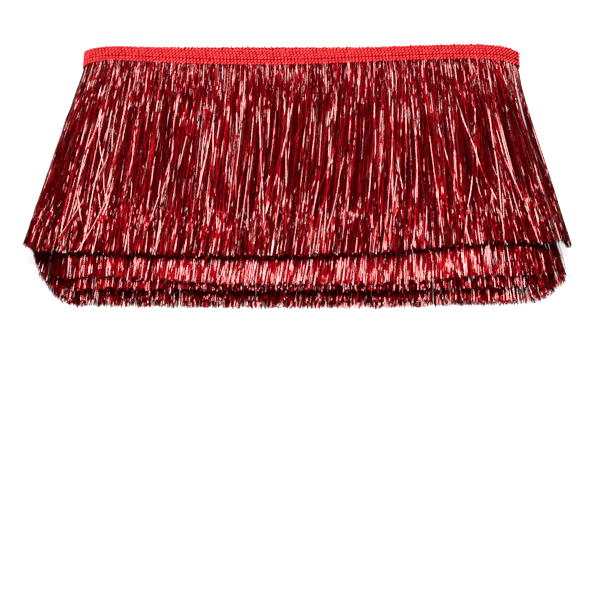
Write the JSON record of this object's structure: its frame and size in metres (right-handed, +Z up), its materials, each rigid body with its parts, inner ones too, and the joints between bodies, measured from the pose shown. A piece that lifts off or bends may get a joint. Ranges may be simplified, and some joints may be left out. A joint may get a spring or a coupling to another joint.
{
  "type": "tinsel fringe trim",
  "caption": "Metallic tinsel fringe on a knitted heading tape, wound flat in turns and lying on its side, with its cut ends spread in layers",
  "frame": {"origin": "under the middle of the bundle, on the surface that it lies on", "axes": "+X along the heading tape, +Y from the cut ends to the heading, +Z up"},
  "size_m": [0.3112, 0.1676, 0.0237],
  "materials": {
    "tape": "bright red warp-knitted yarn in rows of slanting stitches, matt",
    "tinsel": "dark red metallised film cut in narrow ribbons, glossy with pale glints"
  },
  "bodies": {
    "root": {"heading_tape": "tape", "fringe_outer_turn": "tinsel", "fringe_middle_turn": "tinsel", "fringe_inner_turn": "tinsel"}
  },
  "joints": []
}
